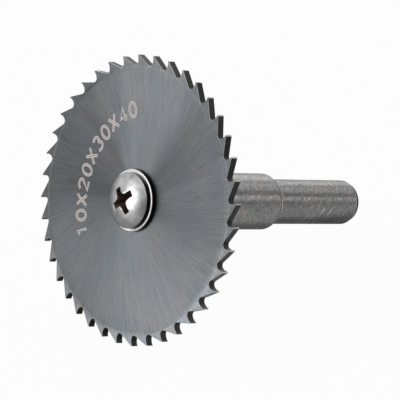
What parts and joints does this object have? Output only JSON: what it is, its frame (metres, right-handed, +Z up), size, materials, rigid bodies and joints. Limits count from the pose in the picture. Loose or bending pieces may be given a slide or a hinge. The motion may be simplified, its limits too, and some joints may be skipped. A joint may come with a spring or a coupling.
{
  "type": "slotting cutter",
  "caption": "Thin fine-toothed slotting saw blade clamped on a stepped steel arbor by a washer and a pan-head screw.",
  "frame": {"origin": "on the bench, under the middle of the tool's box as it lies at rest", "axes": "+Z up; the spindle lies in the YZ plane and rises towards -Y, where the screw's head is; +X across the blade"},
  "size_m": [0.0498, 0.0586, 0.0464],
  "materials": {
    "blade_steel": "ground tool steel, fine radial grinding lines, blue-grey",
    "arbor_steel": "turned steel, satin, lightly mottled and scratched",
    "plated_steel": "bright satin nickel plate"
  },
  "bodies": {
    "root": {"saw_blade": "blade_steel", "arbor": "arbor_steel", "washer": "plated_steel", "clamp_screw": "plated_steel"}
  },
  "joints": []
}
